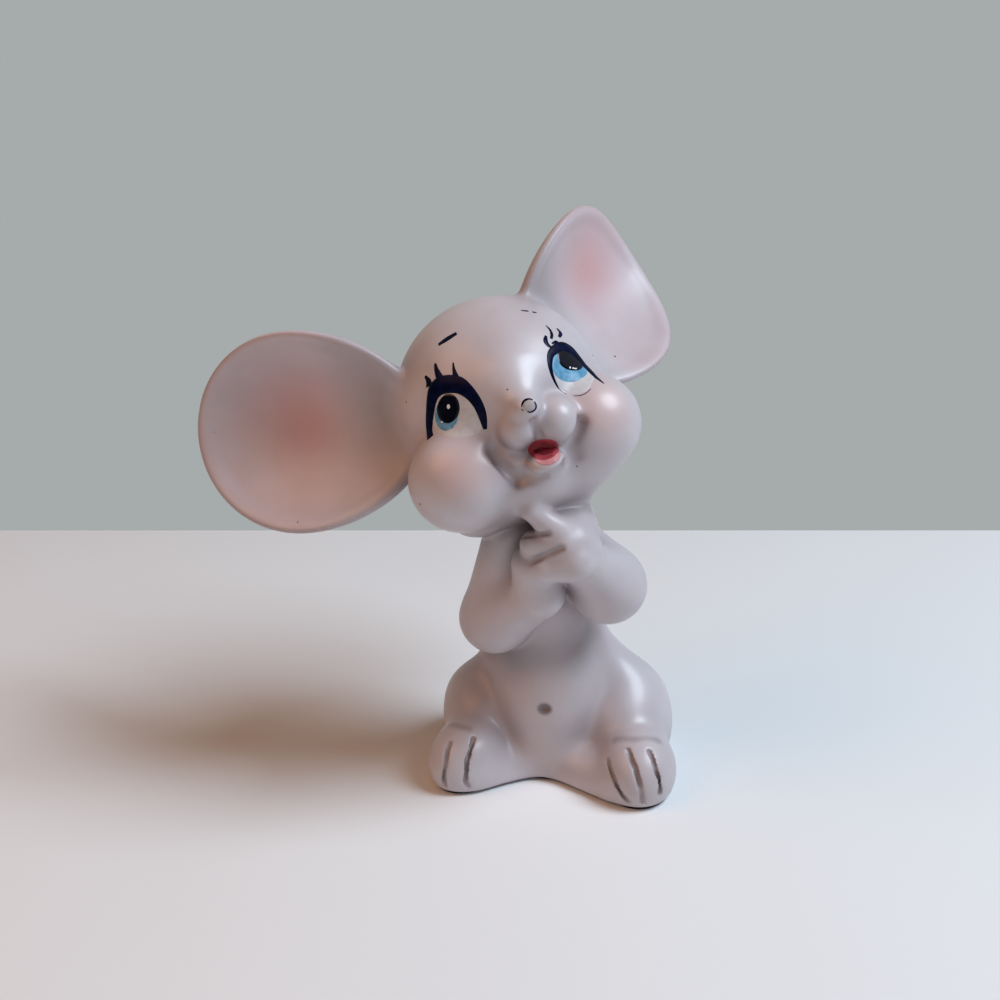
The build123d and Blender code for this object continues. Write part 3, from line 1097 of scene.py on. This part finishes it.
@dataclass
class FacePaint:
    """The enamel of the face, in pools and in strokes of the brush.

    A stroke is a line of knots on the face, each with its place across and up and half the stroke's width.
    """

    casting: Casting
    strokes: tuple[tuple[Triple, ...], ...]
    slot: str = "glazed_head"
    rim_dip: float = 0.06
    rim_points: int = 72
    knot_points: int = 12
    thickness: float = 0.16
    thinnest: float = 0.05
    # A point is dropped from in front of the face in steps, each a safe share of its distance to the skin
    drop_from: float = -24.0
    drops: int = 90
    drop_share: float = 0.8
    longest_drop: float = 0.4

    def head(self, own: Points) -> Distances:
        """Distances to the head with its ears, from points in the head's own frame."""
        at = SEAT.world(own.astype(np.float32))
        return self.casting.joined(("head_shell", "left_ear", "right_ear"), at)

    def on_skin(self, flat: np.ndarray) -> tuple[Points, Points]:
        """Drops points from in front of the face onto its skin.

        Args:
            flat: across and up in the head's own frame.

        Returns:
            The points on the skin and the directions out of it, both in the head's own frame.
        """
        at = np.stack([flat[:, 0], np.full(len(flat), self.drop_from), flat[:, 1]], 1)
        for _ in range(self.drops):
            at[:, 1] += np.maximum(self.head(at) * self.drop_share, -self.longest_drop)
        out = slope(self.head, at)
        return at, out / np.linalg.norm(out, axis=1, keepdims=True)

    def lay_pool(self, daub: Daub) -> Thing:
        """Lays one daub as its own piece: a low dome, whose rim dips under the glaze.

        Args:
            daub: the daub.

        Returns:
            The finished object.
        """
        count = self.rim_points
        edge = through(daub.outline, count, closed=True)
        middle = edge.mean(0)
        rings = [*((share, daub.proud * height) for share, height in DOME), (1.0, -self.rim_dip)]
        flat = np.concatenate([[middle], *[middle + (edge - middle) * share for share, _ in rings]])
        at, out = self.on_skin(flat)
        heights = np.array([daub.proud, *np.repeat([height for _, height in rings], count)])
        points = SEAT.world(at + out * heights[:, None])
        steps = [(i, (i + 1) % count) for i in range(count)]
        faces = [(0, 1 + i, 1 + j) for i, j in steps]
        for start in range(1, 1 + count * len(DOME), count):
            after = start + count
            faces += [(start + i, after + i, after + j, start + j) for i, j in steps]
        mesh = bpy.data.meshes.new(daub.name)
        mesh.from_pydata(points * MM, [], faces)
        mesh.shade_smooth()
        made = placed(daub.name, mesh)
        made.data.materials.append(daub.paint.value.make())
        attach(made, BODY)
        return made

    @staticmethod
    def brush(tree: Tree, given: Any) -> Any:
        """Adds what sweeps a flat oval along the routes, facing out of the skin.

        Args:
            tree: the Geometry Nodes.
            given: the outputs of their group input.

        Returns:
            The last node.
        """
        width, out = (
            node(tree, "GeometryNodeInputNamedAttribute", {"data_type": kind, "Name": name})
            for name, kind in (("half_width", "FLOAT"), ("out_of_skin", "FLOAT_VECTOR"))
        )
        lines = node(tree, "GeometryNodeMeshToCurve", {"Mesh": given["Mesh"]})
        faced = node(tree, "GeometryNodeSetCurveNormal", {"mode": "FREE", "Curve": lines, "Normal": out})
        sized = node(tree, "GeometryNodeSetCurveRadius", {"Curve": faced, "Radius": width})
        circle = node(tree, "GeometryNodeCurvePrimitiveCircle", {"Resolution": 16, "Radius": 1.0})
        flat = node(tree, "ShaderNodeCombineXYZ", {"X": given["Thickness"], "Y": 1.0, "Z": 1.0})
        oval = node(tree, "GeometryNodeTransform", {"Geometry": circle, "Scale": flat})
        sweep = {"Curve": sized, "Profile Curve": oval, "Scale": width, "Fill Caps": True}
        swept = node(tree, "GeometryNodeCurveToMesh", sweep)
        return node(tree, "GeometryNodeSetShadeSmooth", {"Geometry": swept})

    def lay_strokes(self) -> Thing:
        """Lays all the strokes as one piece.

        Returns:
            The finished object.
        """
        points, outs, widths, edges = [], [], [], []
        for route in self.strokes:
            count = self.knot_points * len(route)
            line = through(route, count)
            at, out = self.on_skin(line[:, :2])
            start = sum(len(run) for run in points)
            edges += [(start + i, start + i + 1) for i in range(count - 1)]
            points.append(SEAT.world(at))
            outs.append(out @ SEAT.spin.T)
            widths.append(np.maximum(line[:, 2], self.thinnest))
        mesh = bpy.data.meshes.new("stroke_routes")
        mesh.from_pydata(np.concatenate(points) * MM, edges, [])
        for name, kind, what, values in (
            ("half_width", "FLOAT", "value", np.concatenate(widths) * MM),
            ("out_of_skin", "FLOAT_VECTOR", "vector", np.concatenate(outs)),
        ):
            filled = values.astype(np.float32).ravel()
            mesh.attributes.new(name, kind, "POINT").data.foreach_set(what, filled)
        tree = growing("brush_strokes", {"Thickness": "Float"}, self.brush)
        inks = {"Thickness": self.thickness, "Paint": Paint.NAVY.value.make()}
        made = grow("enamel_brush_strokes", mesh, tree, inks)
        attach(made, BODY)
        return made


# What grows on a mesh


def growing(name: str, inputs: dict[str, str], plant: Callable[[Tree, Any], Any]) -> Tree:
    """Geometry Nodes that grow something on a mesh, make it real and paint it.

    Args:
        name: the tree's name.
        inputs: kinds of socket by the name of the input, besides the mesh and the paint.
        plant: adds the nodes that grow it, given the tree and its inputs, and returns the last of them.

    Returns:
        The tree.
    """
    tree = bpy.data.node_groups.new(name, "GeometryNodeTree")
    for label, kind in {"Mesh": "Geometry", **inputs, "Paint": "Material"}.items():
        tree.interface.new_socket(name=label, in_out="INPUT", socket_type=f"NodeSocket{kind}")
    tree.interface.new_socket(name="Grown", in_out="OUTPUT", socket_type="NodeSocketGeometry")
    given = node(tree, "NodeGroupInput").outputs
    real = node(tree, "GeometryNodeRealizeInstances", {"Geometry": plant(tree, given)})
    painted = node(tree, "GeometryNodeSetMaterial", {"Geometry": real, "Material": given["Paint"]})
    node(tree, "NodeGroupOutput", {"Grown": painted})
    return tree


def grow(name: str, mesh: bpy.types.Mesh, tree: Tree, values: dict[str, Any]) -> Thing:
    """Runs a Geometry Nodes tree on a mesh and keeps the result as a plain object.

    Args:
        name: the new object's name.
        mesh: what the tree starts from.
        tree: the tree.
        values: its inputs by name.

    Returns:
        The object, with no modifier left on it.
    """
    seed = placed(f"{name}_seed", mesh)
    modifier = seed.modifiers.new("grow", "NODES")
    modifier.node_group = tree
    for item in tree.interface.items_tree:
        if item.in_out == "INPUT" and item.name in values:
            modifier[item.identifier] = values[item.name]
    bpy.context.view_layer.update()
    shown = seed.evaluated_get(bpy.context.evaluated_depsgraph_get())
    result = bpy.data.meshes.new_from_object(shown)
    result.name = name
    bpy.data.objects.remove(seed)
    return placed(name, result)


@dataclass
class KilnSpecks:
    """Specks of iron that the kiln left in the glaze, strewn over the clay."""

    per_square_metre: float = 5000.0
    largest_mm: float = 0.18
    smallest_mm: float = 0.05
    seed: int = 11
    # A speck lies nearly flat in the glaze, and is a little longer than wide
    shape: Triple = (1.0, 1.2, 0.25)

    def scatter(self, tree: Tree, given: Any) -> Any:
        """Adds what strews flattened grains over the mesh, with a fixed seed.

        Args:
            tree: the Geometry Nodes.
            given: the outputs of their group input.

        Returns:
            The last node.
        """
        spots = {"Mesh": given["Mesh"], "Density": given["Density"], "Seed": self.seed}
        strewn = node(tree, "GeometryNodeDistributePointsOnFaces", spots)
        sizes = {2: given["Smallest"], 3: given["Largest"], "Seed": self.seed + 1}
        size = node(tree, "FunctionNodeRandomValue", {"data_type": "FLOAT", **sizes})
        values = {
            "Points": strewn,
            "Instance": node(tree, "GeometryNodeMeshIcoSphere", {"Radius": 1.0, "Subdivisions": 2}),
            "Rotation": strewn.outputs["Rotation"],
            "Scale": node(tree, "ShaderNodeVectorMath", {"operation": "SCALE", 0: self.shape, "Scale": size}),
        }
        return node(tree, "GeometryNodeInstanceOnPoints", values)

    def tree(self) -> Tree:
        """The Geometry Nodes that strew the specks, with their number and sizes as named inputs."""
        inputs = {"Density": "Float", "Smallest": "Float", "Largest": "Float"}
        return growing("kiln_specks", inputs, self.scatter)

    def strew(self, clay: Thing, slot: str, tree: Tree) -> Thing:
        """Strews specks over one clay piece.

        Args:
            clay: the piece.
            slot: the record's material slot of the specks; it is not used.
            tree: the tree that tree() made.

        Returns:
            The specks, as one object.
        """
        values = {
            "Density": self.per_square_metre,
            "Smallest": self.smallest_mm * MM,
            "Largest": self.largest_mm * MM,
            "Paint": Paint.SPECK.value.make(),
        }
        made = grow(clay.name.replace("clay_", "kiln_specks_"), clay.data.copy(), tree, values)
        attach(made, BODY)
        return made


# The face's own drawing

# Layers of an eye, from the glaze outward, each with its paint and how far it stands proud
EYE_LAYERS = (
    ("white", Paint.WHITE, 0.05),
    ("iris", Paint.BLUE, 0.09),
    ("pupil", Paint.BLACK, 0.13),
    ("glint", Paint.GLINT, 0.17),
    ("spark", Paint.GLINT, 0.17),
)
EYES = {
    "left": (
        (
            (-10.62, 2.46), (-8.19, 2.96), (-6.82, 1.63), (-6.0, -0.66), (-5.89, -2.68), (-6.17, -4.14),
            (-7.3, -4.56), (-9.03, -4.42), (-10.71, -3.76), (-11.81, -2.91), (-12.33, -1.78), (-11.99, 0.15),
            (-11.32, 1.65),
        ),
        (
            (-8.55, -1.11), (-9.3, -2.27), (-10.38, -2.76), (-11.31, -2.37), (-11.71, -1.22), (-11.53, 0.2),
            (-10.81, 1.36), (-9.79, 1.82), (-8.87, 1.41), (-8.4, 0.29),
        ),
        (
            (-8.15, -0.51), (-9.01, -1.52), (-10.08, -1.84), (-10.92, -1.31), (-11.22, -0.14),
            (-10.89, 1.21), (-10.03, 2.22), (-8.98, 2.51), (-8.14, 1.98), (-7.83, 0.83),
        ),
        ((-9.15, 0.55), (-9.36, 0.3), (-9.58, 0.39), (-9.58, 0.74), (-9.37, 1.0), (-9.15, 0.9)),
        ((-10.75, -1.15), (-10.9, -1.26), (-11.04, -1.13), (-10.97, -0.95), (-10.79, -0.96)),
    ),
    "right": (
        (
            (6.64, 1.36), (6.1, -0.5), (6.37, -2.02), (7.07, -3.3), (8.2, -4.09), (9.48, -4.26),
            (10.67, -3.86), (11.75, -3.13), (12.39, -2.5), (12.18, -1.07), (10.69, 1.44), (8.75, 3.08),
        ),
        (
            (7.42, 2.51), (6.55, 1.39), (6.25, 0.35), (6.44, -0.6), (7.1, -1.46), (8.2, -2.09),
            (9.54, -2.35), (10.77, -2.16), (11.91, -1.56), (11.83, -0.24), (10.34, 1.87), (8.7, 2.98),
        ),
        (
            (7.93, 2.49), (7.65, 1.31), (7.91, 0.44), (8.64, -0.28), (9.72, -0.77), (10.72, -0.91),
            (11.54, -0.53), (11.52, 0.78), (10.5, 2.18), (9.22, 2.96),
        ),
        ((9.45, -0.23), (9.76, -0.43), (10.17, -0.57), (10.35, -0.43), (10.02, -0.34), (9.65, -0.1)),
        ((9.35, -0.07), (9.17, -0.21), (9.04, -0.1), (9.14, 0.11), (9.33, 0.14)),
    ),
}
DAUBS = (
    *(
        Daub(f"eye_{layer}_{side}", paint, proud, outline)
        for side, outlines in EYES.items()
        for (layer, paint, proud), outline in zip(EYE_LAYERS, outlines)
    ),
    Daub("lip_pink", Paint.LIP, 0.05, (
        (-0.77, -10.73), (0.52, -10.92), (2.39, -10.98), (2.96, -11.22), (2.4, -11.93), (1.12, -12.34),
        (-0.2, -12.07), (-0.99, -11.33),
    )),
    Daub("mouth_red", Paint.RED, 0.09, (
        (-1.19, -9.2), (-0.53, -8.41), (0.83, -8.33), (2.19, -8.87), (3.1, -9.72), (3.3, -10.56),
        (2.19, -11.27), (0.99, -11.55), (-0.12, -11.4), (-0.82, -10.8), (-1.08, -10.04),
    )),
    Daub("mouth_dark", Paint.DEEP, 0.13, (
        (-0.49, -9.51), (0.76, -9.5), (2.04, -10.12), (2.42, -10.55), (1.67, -10.91), (0.5, -10.72),
        (-0.29, -10.16),
    )),
    Daub("nose_worn", Paint.WORN, 0.04, (
        (1.08, -3.7), (0.61, -4.19), (-0.08, -4.22), (-0.57, -3.78), (-0.59, -3.13), (-0.1, -2.64),
        (0.59, -2.6), (1.08, -3.05),
    )),
)

STROKES = (
    # Left upper lid, from its outer foot over the eye and down to its inner corner
    (
        (-13.2, -2.6, 0.62), (-12.57, -0.72, 0.74), (-11.84, 0.99, 0.85), (-11.13, 2.47, 1.0),
        (-10.35, 3.49, 1.26), (-9.38, 3.91, 1.37), (-8.15, 3.63, 1.34), (-7.14, 3.0, 1.25),
        (-6.48, 1.98, 1.07), (-5.99, 0.77, 0.92), (-5.69, -0.47, 0.83), (-5.58, -1.71, 0.75),
        (-5.63, -2.99, 0.57), (-5.8, -4.28, 0.28),
    ),
    # Left lashes and brow
    ((-10.7, 4.48, 0.67), (-10.57, 5.25, 0.49), (-10.66, 6.14, 0.19)),
    ((-9.05, 4.51, 0.72), (-9.02, 6.16, 0.43), (-8.8, 7.32, 0.19)),
    ((-7.14, 3.87, 0.6), (-6.88, 5.39, 0.26), (-6.59, 6.4, 0.12)),
    ((-7.2, 9.8, 0.3), (-5.9, 10.1, 0.45), (-4.3, 10.4, 0.34)),
    # Right upper and lower lids
    (
        (6.25, -2.32, 0.13), (6.05, -0.93, 0.25), (6.09, 0.39, 0.36), (6.45, 1.64, 0.53), (7.15, 2.7, 0.63),
        (8.5, 3.22, 0.83), (9.72, 3.07, 0.98), (10.6, 2.27, 1.0), (11.23, 1.08, 0.9), (11.76, -0.1, 0.75),
        (12.23, -1.21, 0.6), (12.51, -2.48, 0.36), (13.09, -3.91, 0.11),
    ),
    ((6.27, -2.32, 0.1), (6.64, -3.0, 0.07), (7.29, -3.7, 0.06)),
    ((7.97, -4.11, 0.05), (8.85, -4.38, 0.07), (9.78, -4.35, 0.07), (10.79, -4.0, 0.05)),
    # Right lashes and the worn brow
    ((7.65, 5.56, 0.2), (7.2, 4.8, 0.41), (7.28, 4.14, 0.34), (7.69, 3.6, 0.24)),
    ((8.47, 7.07, 0.12), (8.76, 6.24, 0.22), (8.66, 5.49, 0.27), (8.23, 4.88, 0.23)),
    ((10.06, 6.18, 0.18), (10.25, 5.33, 0.34), (9.65, 4.8, 0.22)),
    ((7.98, 4.18, 0.14), (8.8, 4.25, 0.24), (9.19, 3.96, 0.13)),
    ((6.0, 10.5, 0.12), (6.7, 10.2, 0.2), (7.1, 10.05, 0.12)),
    ((7.6, 9.75, 0.22), (8.2, 9.45, 0.14)),
    # The worn ring on the nose
    ((-0.82, -3.24, 0.08), (-0.49, -2.79, 0.16), (0.05, -2.52, 0.24), (0.68, -2.55, 0.2), (1.1, -2.82, 0.12)),
    (
        (1.23, -3.13, 0.14), (1.24, -3.75, 0.18), (0.86, -4.23, 0.16), (0.14, -4.37, 0.12),
        (-0.31, -4.14, 0.07),
    ),
    ((-0.92, -3.51, 0.07), (-0.8, -3.86, 0.07)),
)


# Studio


@dataclass(frozen=True)
class SoftBox:
    """A round soft light that looks at the middle of the mouse."""

    name: str
    place: Triple
    side: float
    watts: float
    colour: str

    def build(self, looks_at: Triple) -> None:
        """Hangs the light.

        Args:
            looks_at: what it shines on.
        """
        lamp = bpy.data.lights.new(self.name, "AREA")
        lamp.shape = "DISK"
        lamp.size, lamp.energy, lamp.color = self.side, self.watts, linear(self.colour)[:3]
        thing = placed(self.name, lamp)
        thing.location = [c * MM for c in self.place]
        aim = np.array(self.place, float) - looks_at
        thing.rotation_mode = "QUATERNION"
        thing.rotation_quaternion = Vector(aim).to_track_quat("Z", "Y")


@dataclass
class Studio:
    """A pale floor, a plain wall behind it, soft light and the camera."""

    half_floor: float = 1500.0
    wall_at: float = 104.0
    camera_at: Triple = (24.07, -228.77, 128.55)
    right: Triple = (0.99027, 0.13917, 0.0)
    up: Triple = (-0.04760, 0.33869, 0.93969)
    back: Triple = (0.13078, -0.93055, 0.34202)
    lens: float = 56.16
    film: float = 36.0
    # Nearest and farthest that the camera sees, in metres
    clip: Pair = (0.01, 20.0)
    looks_at: Triple = (0, 0, 45)
    sky: str = "#eef0f4"
    sky_strength: float = 0.04
    lights: tuple[SoftBox, ...] = (
        SoftBox("key_soft_box", (372, -20, 530), 0.34, 3.85, "#e4f2ff"),
        SoftBox("right_fill", (360, -380, 170), 0.5, 0.14, "#eef2ff"),
        SoftBox("front_fill", (-60, -480, 170), 0.5, 0.17, "#fff0e0"),
        SoftBox("warm_fill", (-310, -170, 390), 0.35, 0.74, "#ffb67c"),
    )

    @staticmethod
    def plane(name: str, corners: Sequence[Triple], made_of: bpy.types.Material) -> None:
        """Sets up a four-cornered sheet that is no part of the object.

        Args:
            name: the sheet's name.
            corners: its corners in turn.
            made_of: its material.
        """
        mesh = bpy.data.meshes.new(name)
        mesh.from_pydata([[c * MM for c in corner] for corner in corners], [], [(0, 1, 2, 3)])
        mesh.materials.append(made_of)
        thing = placed(name, mesh)

    def camera(self) -> None:
        """Sets up the camera."""
        lens = bpy.data.cameras.new("camera")
        lens.lens, lens.sensor_width = self.lens, self.film
        lens.clip_start, lens.clip_end = self.clip
        eye = placed("camera", lens)
        turned = Matrix(np.stack([self.right, self.up, self.back], 1).tolist()).to_4x4()
        eye.matrix_world = Matrix.Translation([c * MM for c in self.camera_at]) @ turned
        bpy.context.scene.camera = eye

    def build(self) -> None:
        """Sets up the floor, the wall, the lights, the world and the camera."""
        wide = self.half_floor
        floor = ((-wide, -wide, 0), (wide, -wide, 0), (wide, wide, 0), (-wide, wide, 0))
        self.plane("table_top", floor, TABLE_TOP.make())
        lean = self.right[1] / self.right[0] * wide
        left, right = (-wide, self.wall_at - lean), (wide, self.wall_at + lean)
        wall = ((*left, 0), (*right, 0), (*right, wide), (*left, wide))
        self.plane("back_wall", wall, plain_wall())
        world = bpy.data.worlds.new("soft_room")
        world.use_nodes = True
        tree = world.node_tree
        tree.nodes.clear()
        sky = node(tree, "ShaderNodeBackground", {"Color": linear(self.sky), "Strength": self.sky_strength})
        node(tree, "ShaderNodeOutputWorld", {"Surface": sky})
        bpy.context.scene.world = world
        for light in self.lights:
            light.build(self.looks_at)
        self.camera()
        bpy.context.scene.view_settings.view_transform = "Standard"


def report(made: Thing) -> None:
    """Logs a finished piece."""
    LOG.info("%s: %d faces", made.name, len(made.data.polygons))


def main() -> None:
    """Builds the mouse, its paint and the studio, and reports each piece."""
    logging.basicConfig(level=logging.INFO, format="%(name)s: %(message)s")
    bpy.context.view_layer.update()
    Studio().build()
    casting = mouse()
    glazes = {"glazed_body": BODY_GLAZE, "glazed_head": HEAD_GLAZE, "glazed_ears": EAR_GLAZE}
    specks = KilnSpecks()
    speck_tree = specks.tree()
    for piece in casting.pieces.values():
        clay = casting.build(piece, glazes[piece.slot])
        report(clay)
        report(specks.strew(clay, piece.slot, speck_tree))
    face = FacePaint(casting, STROKES)
    for daub in DAUBS:
        report(face.lay_pool(daub))
    report(face.lay_strokes())
    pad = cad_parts["felt_pad"]
    pad.data.materials.clear()
    pad.data.materials.append(WOOL_FELT.make())
    report(pad)


if __name__ == "__main__":
    main()
